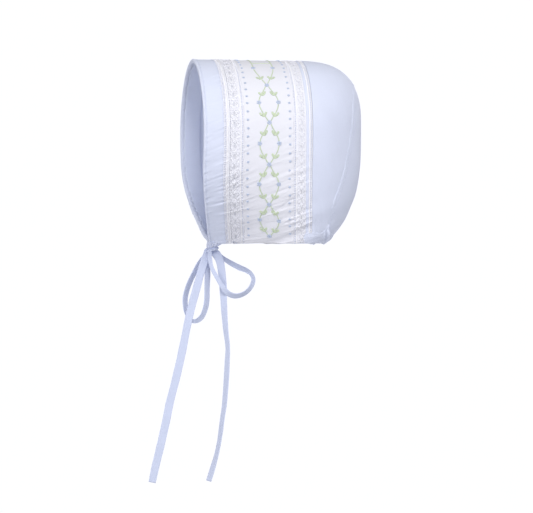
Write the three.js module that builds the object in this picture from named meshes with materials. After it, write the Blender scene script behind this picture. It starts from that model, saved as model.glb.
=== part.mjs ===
// Baby bonnet of pale blue cotton with lace, ladder trims and a white panel, tied with a bow.
// Millimetres, +Z up. The face looks along -Y. The origin is where the head meets the crown's lining.
import * as THREE from 'three';

// Driving sizes of the bonnet, measured on its outer cloth.
// Heights are above the neck edge and depths are behind the face edge.
const crownHeight = 139.5;
const sideHeight = 86;
const halfWidth = 58.5;
const topDrop = 0.9;
const middleDepth = 75;
const backDepth = 129.5;
const napeDepth = 102.5;
const neckHalfWidth = 38;
const chinHalfGap = 2.4;
const chinDepth = 12.5;
const chinRise = 60;
const seatDepth = 60;

// Cloth and clearances.
const liningWall = 1.0;
const clothWall = 1.0;
const clothGap = 0.5;
const seamGap = 0.3;
const crownGap = 0.55;

// Strips from the face edge to the last trim, each with its width.
const bindingWidth = 2.2;
const bindingStand = 0.25;
const bindingNose = 0.7;
const bandWidth = 12.8;
const firstLadderWidth = 3.0;
const frontLaceWidth = 9.0;
const secondLadderWidth = 2.5;
const panelWidth = 37.4;
const thirdLadderWidth = 2.4;
const backLaceWidth = 6.6;
const lastLadderWidth = 4.6;

// Gaps that are cut through each lace, counted from the crown to the neck edge on one side.
const laceGapsPerSide = 14;
const laceGapWidth = 1.7;
const laceGapShare = 0.55;

// The horseshoe seam at the back of the head, set in from the back of the bonnet and from the nape.
const seamSideInset = 12.3;
const seamTopInset = 7.7;
const seamTopHeight = 123;
const seamNapeInset = 4.5;
const pipingWidth = 1.5;
const pipingStand = 0.45;
const pipingGap = 0.5;

// The gathered casing round the nape.
const casingHeight = 7.5;
const casingStart = 0.02;
const casingWall = 1.0;
const casingGathers = 13;
const casingGatherHeight = 0.7;

// Pulls in the cloth above the neck edge.
const pullRise = 46;
const pullLength = 18;
const pullSlope = 0.42;
const pullHeight = 0.45;

// The ties and their knot.
const tieWidth = 6.0;
const tieWall = 1.0;
const knotLength = 10.2;
const knotThickness = 7.6;
const knotHeight = 5.4;
const knotDepth = 15.6;
const knotDrop = 0.05;
const knotPleats = 5;
const knotPleatHeight = 0.25;
const knotSquareness = 3.8;

// Steps of the faceted cloth, for one side of the bonnet.
const crownRows = 8;
const sideRows = 3;
const hemRows = 7;
const hemRowsStart = 0.74;
const fanSteps = 4;
const backSteps = 4;
const seamSearchStep = 0.003;
const backTopStep = 0.004;
const backRowGap = 0.02;
const pipingSteps = 17;
const tieSteps = 24;

// Neck edge from the chin to the last trim: depth as a share of middleDepth, half width as a share
// of neckHalfWidth, how far the edge is drawn back as a share of chinDepth, and the roundness of
// the section over the crown, where 2 is an ellipse and less is more pointed.
const sectionTable = [
  { depth: 0.0, neck: 0.0, drawn: 1.0, round: 1.85 },
  { depth: 0.21, neck: 0.22, drawn: 0.74, round: 1.9 },
  { depth: 0.4, neck: 0.43, drawn: 0.58, round: 1.9 },
  { depth: 0.67, neck: 0.74, drawn: 0.4, round: 1.98 },
  { depth: 1.0, neck: 1.0, drawn: 0.26, round: 2.0 },
  { depth: 1.2, neck: 0.93, drawn: 0.24, round: 2.05 },
];

// The seam below the widest height: height as a share of sideHeight, and depth as a share of the
// way from seamNapeDepth to seamSideDepth.
const seamTable = [
  { height: 0.0, depth: 0.0 },
  { height: 0.18, depth: 0.05 },
  { height: 0.26, depth: 0.135 },
  { height: 0.38, depth: 0.285 },
  { height: 0.48, depth: 0.47 },
  { height: 0.65, depth: 0.68 },
  { height: 0.83, depth: 0.84 },
  { height: 1.0, depth: 1.0 },
];

// Fullness of the side below its widest height, at the face edge, over the ears and at the back.
const faceFullness = 2.35;
const earFullness = 2.3;
const backFullness = 3.1;
const backRound = 0.95;
const chinFullness = 1.8;

const seamSideDepth = backDepth - seamSideInset;
const seamTopDepth = backDepth - seamTopInset;
const seamNapeDepth = napeDepth - seamNapeInset;
const wall = clothWall + clothGap + liningWall;
const topHeight = crownHeight - topDrop;
const origin = new THREE.Vector3(0, seatDepth, crownHeight - topDrop * seatDepth / middleDepth - wall);

const lastTrimDepth = bindingWidth + bandWidth + firstLadderWidth + frontLaceWidth + secondLadderWidth
  + panelWidth + thirdLadderWidth + backLaceWidth + lastLadderWidth + 8 * seamGap;

// The value of one column of a table at a place between its rows.
function lookUp(table, key, value, at) {
  const last = table.length - 1;
  let row = 0;
  while (row < last - 1 && at > table[row + 1][key]) {
    row += 1;
  }
  const [low, high] = [table[row], table[row + 1]];
  const share = THREE.MathUtils.clamp((at - low[key]) / (high[key] - low[key]), 0, 1);
  return THREE.MathUtils.lerp(low[value], high[value], share);
}

// How much of the widest half width the side has kept at a share of its height.
function fullness(share, power) {
  return 1 - Math.pow(Math.max(0, 1 - share), power);
}

function drawnBack(depth, height) {
  const chin = Math.pow(Math.max(0, 1 - height / chinRise), chinFullness);
  return chinDepth * lookUp(sectionTable, 'depth', 'drawn', depth / middleDepth) * chin;
}

// A point of the outer cloth in a cross section at a depth, where round runs from 0 on the crown
// through 0.5 at the widest height to 1 on the neck edge.
function sectionPoint(depth, round) {
  const behind = Math.max(0, depth - middleDepth) / (backDepth - middleDepth);
  const reach = Math.sqrt(1 - behind * behind);
  const top = THREE.MathUtils.lerp(crownHeight, topHeight, Math.min(1, depth / middleDepth));
  const share = depth / middleDepth;
  if (round <= 0.5) {
    const angle = (1 - 2 * round) * Math.PI / 2;
    const power = 2 / lookUp(sectionTable, 'depth', 'round', share);
    const rise = (top - sideHeight) * Math.pow(1 - Math.pow(behind, 2 + backRound), 1 / (2 + backRound));
    const across = round === 0 ? 0 : halfWidth * reach * Math.pow(Math.cos(angle), power);
    return new THREE.Vector3(across, depth, sideHeight + rise * Math.pow(Math.sin(angle), power));
  }
  const height = sideHeight * (2 - 2 * round);
  const neck = chinHalfGap + (neckHalfWidth - chinHalfGap) * lookUp(sectionTable, 'depth', 'neck', share);
  const power = THREE.MathUtils.lerp(faceFullness, earFullness, Math.min(1, share));
  const across = neck + (halfWidth * reach - neck) * fullness(height / sideHeight, power);
  return new THREE.Vector3(across, depth + drawnBack(depth, height), height);
}

// Moves a point behind the ears onto the rounded back of the bonnet.
function ontoBack(point) {
  if (point.z <= sideHeight) {
    const share = point.z / sideHeight;
    const centre = middleDepth + drawnBack(middleDepth, point.z);
    const side = neckHalfWidth + (halfWidth - neckHalfWidth) * fullness(share, earFullness);
    const back = napeDepth + (backDepth - napeDepth) * fullness(share, backFullness) - centre;
    const scale = 1 / Math.hypot(point.x / side, (point.y - centre) / back);
    return new THREE.Vector3(point.x * scale, centre + (point.y - centre) * scale, point.z);
  }
  const across = point.x / halfWidth;
  const behind = (point.y - middleDepth) / (backDepth - middleDepth);
  const above = (point.z - sideHeight) / (topHeight - sideHeight);
  const level = Math.hypot(across, behind);
  const power = 2 + backRound * Math.pow(behind / level, 2);
  const scale = Math.pow(Math.pow(level, power) + Math.pow(above, power), -1 / power);
  return new THREE.Vector3(
    point.x * scale,
    middleDepth + (point.y - middleDepth) * scale,
    sideHeight + (point.z - sideHeight) * scale,
  );
}

// The horseshoe seam, from its top (round 0) to the nape (round 1).
function seamPoint(round) {
  if (round <= 0.5) {
    const angle = (1 - 2 * round) * Math.PI / 2;
    const depth = THREE.MathUtils.lerp(seamSideDepth, seamTopDepth, Math.sin(angle));
    const height = THREE.MathUtils.lerp(sideHeight, seamTopHeight, Math.sin(angle));
    const behind = (seamSideDepth - middleDepth) / (backDepth - middleDepth);
    const widest = halfWidth * Math.sqrt(1 - behind * behind);
    const across = round === 0 ? 0 : widest * Math.cos(angle);
    return ontoBack(new THREE.Vector3(across, depth, height));
  }
  const share = 2 - 2 * round;
  const back = lookUp(seamTable, 'height', 'depth', share);
  const depth = THREE.MathUtils.lerp(seamNapeDepth, seamSideDepth, back);
  const height = sideHeight * share;
  const centre = middleDepth + drawnBack(middleDepth, height);
  const side = neckHalfWidth + (halfWidth - neckHalfWidth) * fullness(share, earFullness);
  const reach = napeDepth + (backDepth - napeDepth) * fullness(share, backFullness) - centre;
  const across = side * Math.sqrt(1 - Math.pow((depth - centre) / reach, 2));
  return new THREE.Vector3(across, depth, height);
}

// The outer cloth of one side. Place runs from 0 at the face edge to 1 at the last trim, 2 at the
// horseshoe seam and 3 at the middle of the back.
function clothPoint(place, round) {
  if (place <= 1) {
    return sectionPoint(place * lastTrimDepth, round);
  }
  const seam = seamPoint(round);
  if (place <= 2) {
    const share = place - 1;
    const start = sectionPoint(lastTrimDepth, round);
    const settle = start.clone().sub(ontoBack(start)).multiplyScalar(1 - share);
    return ontoBack(start.lerp(seam, share)).add(settle);
  }
  const top = seamPoint(0);
  const out = round < 0.5 ? Math.sin(Math.PI * round) : 1;
  const middle = ontoBack(new THREE.Vector3(0, THREE.MathUtils.lerp(top.y, backDepth, out), seam.z));
  return ontoBack(seam.lerp(middle, place - 2));
}

// The direction that the outer cloth faces.
function clothNormal(place, round) {
  const step = 0.004;
  const down = Math.max(round, place > 2 ? 0.03 : 0);
  const low = Math.max(0, Math.ceil(place) - 1);
  const [before, after] = [Math.max(place - step, low), Math.min(place + step, low + 1)];
  const along = clothPoint(after, down).sub(clothPoint(before, down));
  const [above, below] = [Math.max(down - step, 0), Math.min(down + step, 1)];
  const around = clothPoint(place, below).sub(clothPoint(place, above));
  const facing = around.cross(along);
  if (round === 0 || place === 3) {
    facing.x = 0;
  }
  return facing.normalize();
}

// Soft pulls that rise towards the back, strongest just above the neck edge.
function pull(point) {
  const near = THREE.MathUtils.clamp(1 - point.z / pullRise, 0, 1);
  const phase = (point.z - pullSlope * point.y) / pullLength;
  return pullHeight * near * Math.sin(2 * Math.PI * phase);
}

// Joins the points of a piece that fall on each other, such as those on the bonnet's middle.
class PointList {
  constructor() {
    this.numbers = new Map();
    this.points = [];
  }

  numberOf(place, round, side) {
    const from = round === 0 && place > 2 ? 2 : place;
    const onMiddle = round === 0 || place === 3;
    const key = [from.toFixed(6), round.toFixed(6), onMiddle ? 0 : side].join(' ');
    if (!this.numbers.has(key)) {
      this.numbers.set(key, this.points.length);
      this.points.push({ place: from, round, side });
    }
    return this.numbers.get(key);
  }
}

// A closed solid of cloth between two heights over the outer surface. Its columns are places, or
// functions that give the place at each round. Cells that cut() names stay open, and every edge
// of the cloth gets its rim.
function clothSolid(columns, rounds, outer, inner, cut = () => false) {
  const list = new PointList();
  const faces = [];
  const numberAt = (column, row, side) => {
    const place = columns[column];
    const round = rounds[row];
    return list.numberOf(typeof place === 'function' ? place(round) : place, round, side);
  };
  for (const side of [1, -1]) {
    for (let column = 0; column < columns.length - 1; column += 1) {
      for (let row = 0; row < rounds.length - 1; row += 1) {
        if (cut(column, row)) {
          continue;
        }
        const corners = [[0, 0], [0, 1], [1, 1], [1, 0]]
          .map(([c, r]) => numberAt(column + c, row + r, side));
        const [a, b, c, d] = side > 0 ? corners : corners.reverse();
        for (const face of [[a, b, c], [a, c, d]]) {
          if (new Set(face).size === 3) {
            faces.push(face);
          }
        }
      }
    }
  }
  const count = list.points.length;
  const positions = [];
  for (const height of [outer, inner]) {
    for (const { place, round, side } of list.points) {
      const point = clothPoint(place, round);
      const rise = height(place, round) + pull(point);
      point.addScaledVector(clothNormal(place, round), rise);
      positions.push(point.x * side - origin.x, point.y - origin.y, point.z - origin.z);
    }
  }
  const edges = new Set();
  const triangles = [];
  for (const face of faces) {
    triangles.push(...face, face[0] + count, face[2] + count, face[1] + count);
    face.forEach((from, corner) => edges.add(`${from} ${face[(corner + 1) % 3]}`));
  }
  for (const edge of edges) {
    const [from, to] = edge.split(' ').map(Number);
    if (!edges.has(`${to} ${from}`)) {
      triangles.push(to, from, from + count, to, from + count, to + count);
    }
  }
  return solidOf(positions, triangles);
}

// A closed solid of eight sides swept through stations, each with its centre, two directions and
// half sizes along them.
function sweptSolid(stations) {
  const sides = 8;
  const reach = 1 / Math.cos(Math.PI / sides);
  const positions = [];
  const triangles = [];
  for (const { centre, across, up, halfAcross, halfUp } of stations) {
    for (let side = 0; side < sides; side += 1) {
      const angle = (side + 0.5) * 2 * Math.PI / sides;
      const point = centre.clone()
        .addScaledVector(across, halfAcross * reach * Math.cos(angle))
        .addScaledVector(up, halfUp * reach * Math.sin(angle));
      positions.push(point.x, point.y, point.z);
    }
  }
  for (let ring = 0; ring < stations.length - 1; ring += 1) {
    for (let side = 0; side < sides; side += 1) {
      const [a, b] = [ring * sides + side, ring * sides + (side + 1) % sides];
      triangles.push(a, b, b + sides, a, b + sides, a + sides);
    }
  }
  const end = (stations.length - 1) * sides;
  for (let side = 1; side < sides - 1; side += 1) {
    triangles.push(0, side + 1, side, end, end + side, end + side + 1);
  }
  return solidOf(positions, triangles);
}

function solidOf(positions, triangles) {
  const geometry = new THREE.BufferGeometry();
  geometry.setAttribute('position', new THREE.Float32BufferAttribute(positions, 3));
  geometry.setIndex(triangles);
  geometry.computeVertexNormals();
  return geometry;
}

function evenly(from, to, steps) {
  return Array.from({ length: steps + 1 }, (_, step) => THREE.MathUtils.lerp(from, to, step / steps));
}

// Rows from the crown to the neck edge, closest where the cloth is pulled in.
const rounds = [
  ...evenly(0, 0.5, crownRows),
  ...evenly(0.5, hemRowsStart, sideRows).slice(1),
  ...evenly(hemRowsStart, 1, hemRows).slice(1),
];
const fanPlaces = evenly(1, 2, fanSteps);
const backPlaces = evenly(2, 3, backSteps);
const atDepth = (depth) => depth / lastTrimDepth;

const bonnet = new THREE.Group();
bonnet.name = 'baby_bonnet';

const blueCotton = { color: 0xcfd8ec, roughness: 0.85, metalness: 0 };
const innerCotton = { color: 0xb6c3de, roughness: 0.88, metalness: 0 };
const whiteCotton = { color: 0xeceaf3, roughness: 0.85, metalness: 0 };
const whiteLace = { color: 0xf3f1f4, roughness: 0.9, metalness: 0 };
const tieCotton = { color: 0xd3dcf2, roughness: 0.8, metalness: 0 };

function addPiece(name, geometry, finish) {
  const mesh = new THREE.Mesh(geometry, new THREE.MeshStandardMaterial(finish));
  mesh.name = name;
  bonnet.add(mesh);
  return mesh;
}

// The lining, behind the binding and under all the strips.
const liningPlaces = [
  ...evenly(atDepth(bindingWidth + seamGap), 1, 8),
  ...fanPlaces.slice(1),
  ...backPlaces.slice(1),
];
const liningTop = -(clothWall + clothGap);
addPiece('lining', clothSolid(liningPlaces, rounds, () => liningTop, () => -wall), innerCotton);

// The folded edge round the face, as thick as both cloths and rounded in front.
const bindingPlaces = [0, bindingNose, bindingWidth].map(atDepth);
const bindingMiddle = -wall / 2;
function bindingHalf(place) {
  const full = wall / 2 + bindingStand;
  return place === 0 ? full - bindingNose : full;
}
addPiece(
  'front_binding',
  clothSolid(
    bindingPlaces,
    rounds,
    (place) => bindingMiddle + bindingHalf(place),
    (place) => bindingMiddle - bindingHalf(place),
  ),
  blueCotton,
);

// The strips behind the binding, each from where the one before it ends.
const strips = [
  { name: 'front_band', width: bandWidth, steps: 2, finish: blueCotton },
  { name: 'ladder_trim_1', width: firstLadderWidth, steps: 1, finish: whiteLace },
  { name: 'lace_strip_front', width: frontLaceWidth, steps: 0, finish: whiteLace },
  { name: 'ladder_trim_2', width: secondLadderWidth, steps: 1, finish: whiteLace },
  { name: 'embroidered_panel', width: panelWidth, steps: 4, finish: whiteCotton },
  { name: 'ladder_trim_3', width: thirdLadderWidth, steps: 1, finish: whiteLace },
  { name: 'lace_strip_back', width: backLaceWidth, steps: 0, finish: whiteLace },
  { name: 'ladder_trim_4', width: lastLadderWidth, steps: 1, finish: whiteLace },
];

// Lace has a row of gaps down its middle, and bars of the same thread between them.
function laceSolid(start, end) {
  const middle = (start + end) / 2;
  const places = [start, middle - laceGapWidth / 2, middle + laceGapWidth / 2, end].map(atDepth);
  const rows = [0];
  for (let gap = 0; gap < laceGapsPerSide; gap += 1) {
    const centre = (gap + 0.5) / laceGapsPerSide;
    const half = laceGapShare / laceGapsPerSide / 2;
    rows.push(centre - half, centre + half);
  }
  rows.push(1);
  const cut = (column, row) => column === 1 && row % 2 === 1;
  return clothSolid(places, rows, () => 0, () => -clothWall, cut);
}

let start = bindingWidth;
for (const { name, width, steps, finish } of strips) {
  start += seamGap;
  const end = start + width;
  const places = evenly(atDepth(start), atDepth(end), Math.max(1, steps));
  const geometry = steps === 0
    ? laceSolid(start, end)
    : clothSolid(places, rounds, () => 0, () => -clothWall);
  addPiece(name, geometry, finish);
  start = end;
}

// The cloth on both sides of the horseshoe seam ends clear of the piping in it.
const seamReach = pipingWidth / 2 + pipingGap;
const seamLine = evenly(0, 1, 400).map(seamPoint);
const seamTop = seamLine.slice(1, 100).map((point) => new THREE.Vector3(-point.x, point.y, point.z));
const wholeSeam = [...seamTop, ...seamLine];
function clearOfSeam(round, direction) {
  const step = seamSearchStep * direction;
  const end = 2 + direction;
  let place = 2;
  while ((end - place) * direction > 0) {
    const point = clothPoint(place, round);
    if (wholeSeam.every((other) => other.distanceTo(point) > seamReach)) {
      return place;
    }
    place += step;
  }
  return end;
}

const trimShare = (round) => crownGap / clothPoint(1, round).distanceTo(clothPoint(2, round));
const crownEnds = new Map(rounds.map((round) => [round, clearOfSeam(round, -1)]));
const crownPlaces = evenly(0, 1, fanSteps).map((share) => (round) => (
  THREE.MathUtils.lerp(1 + trimShare(round), crownEnds.get(round), share)
));
addPiece('crown_panel', clothSolid(crownPlaces, rounds, () => 0, () => -clothWall), blueCotton);

// The back panel starts where the cloth under the top of the seam is clear of it.
let backTop = 0;
while (clearOfSeam(backTop, 1) === 3) {
  backTop += backTopStep;
}
const laterRounds = rounds.filter((round) => round > backTop + backRowGap);
const backRounds = [backTop - backTopStep, backTop, ...laterRounds];
const backEnds = new Map(backRounds.map((round) => [round, clearOfSeam(round, 1)]));
const backColumns = evenly(0, 1, backSteps).map((share) => (round) => (
  THREE.MathUtils.lerp(backEnds.get(round), 3, share)
));
addPiece('back_panel', clothSolid(backColumns, backRounds, () => 0, () => -clothWall), blueCotton);

// The piping in the horseshoe seam, down to the casing.
const casingRound = 1 - casingHeight / sideHeight / 2;
const pipingEnd = casingRound - pipingGap / sideHeight / 2;
const pipingBottom = -(clothWall + clothGap - pipingGap);
const pipingHalf = (pipingStand - pipingBottom) / 2;
function pipingStation(along) {
  const round = Math.abs(along) * pipingEnd;
  const side = Math.sign(along) || 1;
  const centre = seamPoint(round);
  const up = clothNormal(2, round);
  centre.addScaledVector(up, pipingBottom + pipingHalf + pull(centre));
  const way = seamPoint(Math.min(1, round + 0.01)).sub(seamPoint(Math.max(0, round - 0.01)));
  if (along === 0) {
    way.set(1, 0, 0);
  }
  for (const vector of [centre, up]) {
    vector.x *= side;
  }
  way.multiply(new THREE.Vector3(1, side, side));
  const across = up.clone().cross(way).normalize();
  return { centre: centre.sub(origin), across, up, halfAcross: pipingWidth / 2, halfUp: pipingHalf };
}
addPiece('back_seam', sweptSolid(evenly(-1, 1, 2 * pipingSteps).map(pipingStation)), blueCotton);

// The casing lies over the crown and back panels and is gathered all along.
const casingPlaces = [
  ...evenly(1 + casingStart, 2, casingGathers * 2),
  ...evenly(2, 3, casingGathers).slice(1),
];
function casingTop(place) {
  const gather = Math.cos((place - 3) * Math.PI * casingGathers);
  return seamGap + casingWall + casingGatherHeight * (0.5 + 0.5 * gather);
}
addPiece(
  'nape_casing',
  clothSolid(casingPlaces, [casingRound, (casingRound + 1) / 2, 1], casingTop, () => seamGap),
  blueCotton,
);

// The knot under the chin, a rounded block with pleats along it.
const knotCentre = new THREE.Vector3(0, knotDepth, -knotDrop - knotHeight / 2).sub(origin);
const knot = new THREE.SphereGeometry(1, 16, 10);
knot.rotateX(Math.PI / 2);
const knotPoints = knot.getAttribute('position');
for (let index = 0; index < knotPoints.count; index += 1) {
  const point = new THREE.Vector3().fromBufferAttribute(knotPoints, index);
  const total = point.toArray().reduce((sum, part) => sum + Math.abs(part) ** knotSquareness, 0);
  const pleat = knotPleatHeight * Math.sin(knotPleats * Math.atan2(point.z, Math.abs(point.x) + 0.2));
  point.multiplyScalar(total ** (-1 / knotSquareness));
  point.multiply(new THREE.Vector3(knotThickness / 2 + pleat, knotLength / 2, knotHeight / 2));
  knotPoints.setXYZ(index, point.x, point.y, point.z);
}
const knotMesh = addPiece('bow_knot', knot, tieCotton);
knotMesh.position.copy(knotCentre);

// The routes of the ties from just under the knot, chosen by hand: across, back and up in
// millimetres, how far the cloth is turned edge on in degrees, and its width as a share.
const tieStart = knotCentre.clone().add(new THREE.Vector3(0, 0, -knotHeight / 2 - seamGap));
const tieRoutes = {
  left_tie_tail: [
    [0.8, -3.9, 0.0, 0, 0.8],
    [0.9, -4.5, -2.6, 0, 0.88],
    [1.4, -7.7, -11.9, 0, 1],
    [2.0, -12.2, -27.8, 0, 1],
    [2.2, -16.6, -43.8, 0, 1],
    [2.2, -19.2, -55.2, 0, 1],
    [2.0, -23.8, -78.0, 0, 1],
    [1.8, -28.0, -96.2, 0, 1],
    [1.8, -32.7, -114.5, 0, 1],
    [2.0, -36.5, -132.7, 0, 1],
    [2.2, -40.8, -150.9, 0, 1],
    [2.4, -44.2, -164.6, 0, 1],
    [2.5, -46.5, -175.3, 0, 0.85],
  ],
  left_tie_loop: [
    [-2.8, -3.2, 0.0, 0, 0.55],
    [-2.8, -3.9, -1.7, 0, 0.6],
    [-3.0, -10.0, -8.4, 0, 0.7],
    [-3.0, -15.4, -18.7, 0, 0.75],
    [-2.9, -19.9, -29.3, 0, 0.75],
    [-2.8, -21.3, -36.6, 0, 0.75],
    [-2.6, -20.7, -43.8, 0, 0.72],
    [-2.5, -19.1, -49.3, 0, 0.7],
    [-2.4, -16.3, -52.8, 0, 0.7],
    [-2.3, -12.6, -53.8, 0, 0.7],
    [-2.1, -7.9, -50.6, 0, 0.7],
    [-1.9, -4.6, -42.3, 0, 0.7],
    [-1.7, -3.7, -30.9, 0, 0.7],
    [-1.5, -3.6, -18.7, 0, 0.7],
    [-1.3, -3.7, -8.8, 0, 0.65],
    [-1.2, -2.8, 0.0, 0, 0.6],
  ],
  right_tie_tail: [
    [0.2, 2.7, 0.0, 0, 0.8],
    [0.1, 3.3, -1.6, 0, 0.9],
    [0.0, 5.6, -5.4, 0, 1],
    [0.0, 6.6, -10.6, 0, 1],
    [0.0, 8.2, -21.7, 12, 1],
    [0.0, 8.9, -30.9, 25, 1],
    [0.2, 9.5, -43.8, 42, 1],
    [0.4, 10.6, -59.7, 54, 1],
    [0.6, 11.9, -74.9, 58, 1],
    [0.8, 11.4, -88.5, 60, 1],
    [1.0, 10.2, -105.3, 62, 1],
    [1.0, 9.1, -119.0, 64, 1],
    [1.0, 7.1, -132.7, 67, 1],
    [1.0, 5.2, -144.9, 69, 1],
    [1.0, 2.9, -155.5, 68, 1],
    [1.0, 0.2, -164.6, 60, 1],
    [1.0, -2.9, -174.5, 52, 0.85],
  ],
  right_tie_loop: [
    [-2.6, 2.8, 0.0, 0, 0.6],
    [-2.7, 3.6, -1.6, 0, 0.7],
    [-3.0, 8.7, -4.6, 0, 0.8],
    [-3.0, 14.9, -8.1, 0, 0.75],
    [-2.6, 21.4, -11.5, 0, 0.7],
    [-2.0, 26.3, -14.1, 0, 0.6],
    [-1.0, 30.2, -16.9, 0, 0.5],
    [0.0, 31.6, -21.7, 0, 0.5],
    [1.0, 29.6, -27.2, 0, 0.55],
    [2.0, 24.5, -31.9, 0, 0.6],
    [2.8, 17.8, -33.9, 0, 0.65],
    [3.2, 12.9, -32.7, 0, 0.65],
    [3.4, 9.5, -30.0, 0, 0.65],
    [3.6, 6.2, -25.3, 0, 0.65],
    [3.6, 2.4, -19.0, 0, 0.65],
    [3.6, -0.9, -12.6, 0, 0.65],
    [3.4, -2.3, -6.5, 0, 0.6],
    [3.1, -2.3, 0.0, 0, 0.5],
  ],
};

// A flat tie along its route. Its face looks sideways until it is turned.
function tieSolid(route) {
  const curve = new THREE.CatmullRomCurve3(route.map(([x, y, z]) => new THREE.Vector3(x, y, z)));
  const last = route.length - 1;
  const stations = evenly(0, 1, tieSteps).map((share) => {
    const row = Math.min(last - 1, Math.floor(share * last));
    const between = share * last - row;
    const turn = THREE.MathUtils.lerp(route[row][3], route[row + 1][3], between);
    const width = tieWidth * THREE.MathUtils.lerp(route[row][4], route[row + 1][4], between);
    const way = curve.getTangent(share);
    const face = new THREE.Vector3(1, 0, 0);
    const across = face.clone().cross(way).normalize().applyAxisAngle(way, turn * Math.PI / 180);
    const up = way.clone().cross(across);
    const centre = curve.getPoint(share).add(tieStart);
    return { centre, across, up, halfAcross: width / 2, halfUp: tieWall / 2 };
  });
  return sweptSolid(stations);
}

for (const [name, route] of Object.entries(tieRoutes)) {
  addPiece(name, tieSolid(route), tieCotton);
}

export default bonnet;
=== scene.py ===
"""Looks of a baby bonnet: woven cotton, ladder trims, lace, embroidery, a gathered nape and ties."""
import itertools
import math

import bpy
import numpy as np
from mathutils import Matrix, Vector


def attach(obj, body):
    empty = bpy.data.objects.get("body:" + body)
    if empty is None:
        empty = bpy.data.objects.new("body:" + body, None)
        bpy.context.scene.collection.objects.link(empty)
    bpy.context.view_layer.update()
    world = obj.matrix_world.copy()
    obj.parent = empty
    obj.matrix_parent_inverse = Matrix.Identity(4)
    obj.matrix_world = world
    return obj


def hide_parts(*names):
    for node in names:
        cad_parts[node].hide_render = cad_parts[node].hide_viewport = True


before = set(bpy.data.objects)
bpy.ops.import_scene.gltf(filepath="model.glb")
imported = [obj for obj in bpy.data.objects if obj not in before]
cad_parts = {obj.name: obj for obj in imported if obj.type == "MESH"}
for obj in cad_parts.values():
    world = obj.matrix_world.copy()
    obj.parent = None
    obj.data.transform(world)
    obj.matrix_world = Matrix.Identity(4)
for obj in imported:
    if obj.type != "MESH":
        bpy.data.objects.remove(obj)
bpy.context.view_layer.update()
scene = bpy.context.scene

MM = 0.001

# Sizes of the bonnet in millimetres, as in the part's source.
CROWN_HEIGHT = 139.5
SIDE_HEIGHT = 86.0
HALF_WIDTH = 58.5
TOP_DROP = 0.9
MIDDLE_DEPTH = 75.0
BACK_DEPTH = 129.5
NAPE_DEPTH = 102.5
NECK_HALF_WIDTH = 38.0
CHIN_HALF_GAP = 2.4
CHIN_DEPTH = 12.5
CHIN_RISE = 60.0
SEAT_DEPTH = 60.0
WALL = 2.5
LAST_TRIM = 82.9
SEAM_SIDE_DEPTH = 117.2
SEAM_TOP_DEPTH = 121.8
SEAM_TOP_HEIGHT = 123.0
SEAM_NAPE_DEPTH = 98.0
PULL_RISE = 46.0
PULL_LENGTH = 18.0
PULL_SLOPE = 0.42
PULL_HEIGHT = 0.45
FACE_FULLNESS = 2.35
EAR_FULLNESS = 2.3
BACK_FULLNESS = 3.1
BACK_ROUND = 0.95
CHIN_FULLNESS = 1.8
NECK = [(0, 0), (0.21, 0.22), (0.4, 0.43), (0.67, 0.74), (1, 1), (1.2, 0.93)]
DRAWN = [(0, 1), (0.21, 0.74), (0.4, 0.58), (0.67, 0.4), (1, 0.26), (1.2, 0.24)]
ROUND = [(0, 1.85), (0.21, 1.9), (0.4, 1.9), (0.67, 1.98), (1, 2.0), (1.2, 2.05)]
SEAM = [
    (0, 0), (0.18, 0.05), (0.26, 0.135), (0.38, 0.285),
    (0.48, 0.47), (0.65, 0.68), (0.83, 0.84), (1, 1),
]
TOP_HEIGHT = CROWN_HEIGHT - TOP_DROP
# The origin, at the inside of the crown, in the source's axes.
ORIGIN = np.array([0, SEAT_DEPTH, CROWN_HEIGHT - TOP_DROP * SEAT_DEPTH / MIDDLE_DEPTH - WALL])

# Camera, as the photo's: level, from the wearer's left and a little in front, with a long lens.
VIEW_TURN = math.radians(9.5)
VIEW_DISTANCE = 5.0
VIEW_WIDTH = 0.405
VIEW_CENTRE = Vector((0, -0.0026, -0.1462))
SENSOR_WIDTH = 36
camera_data = bpy.data.cameras.new("camera")
camera_data.sensor_width = SENSOR_WIDTH
camera_data.lens = SENSOR_WIDTH * VIEW_DISTANCE / VIEW_WIDTH
camera = bpy.data.objects.new("camera", camera_data)
scene.collection.objects.link(camera)
towards_camera = Vector((math.cos(VIEW_TURN), -math.sin(VIEW_TURN), 0))
camera.location = VIEW_CENTRE + VIEW_DISTANCE * towards_camera
camera.rotation_euler = (-towards_camera).to_track_quat("-Z", "Y").to_euler()
scene.camera = camera


def look_up(rows, at):
    """Values between the (key, value) rows of a table."""
    keys, values = np.array(rows, float).T
    return np.interp(at, keys, values)


def together(*values):
    """Arrays of floats with one shape in common."""
    return np.broadcast_arrays(*(np.asarray(value, float) for value in values))


def fullness(share, power):
    """How full a curve is at a share of its way, from 0 to 1."""
    return 1 - np.maximum(0, 1 - share) ** power


def drawn_back(depth, height):
    """How far the cloth is drawn back under the chin."""
    chin = np.maximum(0, 1 - height / CHIN_RISE) ** CHIN_FULLNESS
    return CHIN_DEPTH * look_up(DRAWN, depth / MIDDLE_DEPTH) * chin


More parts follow.
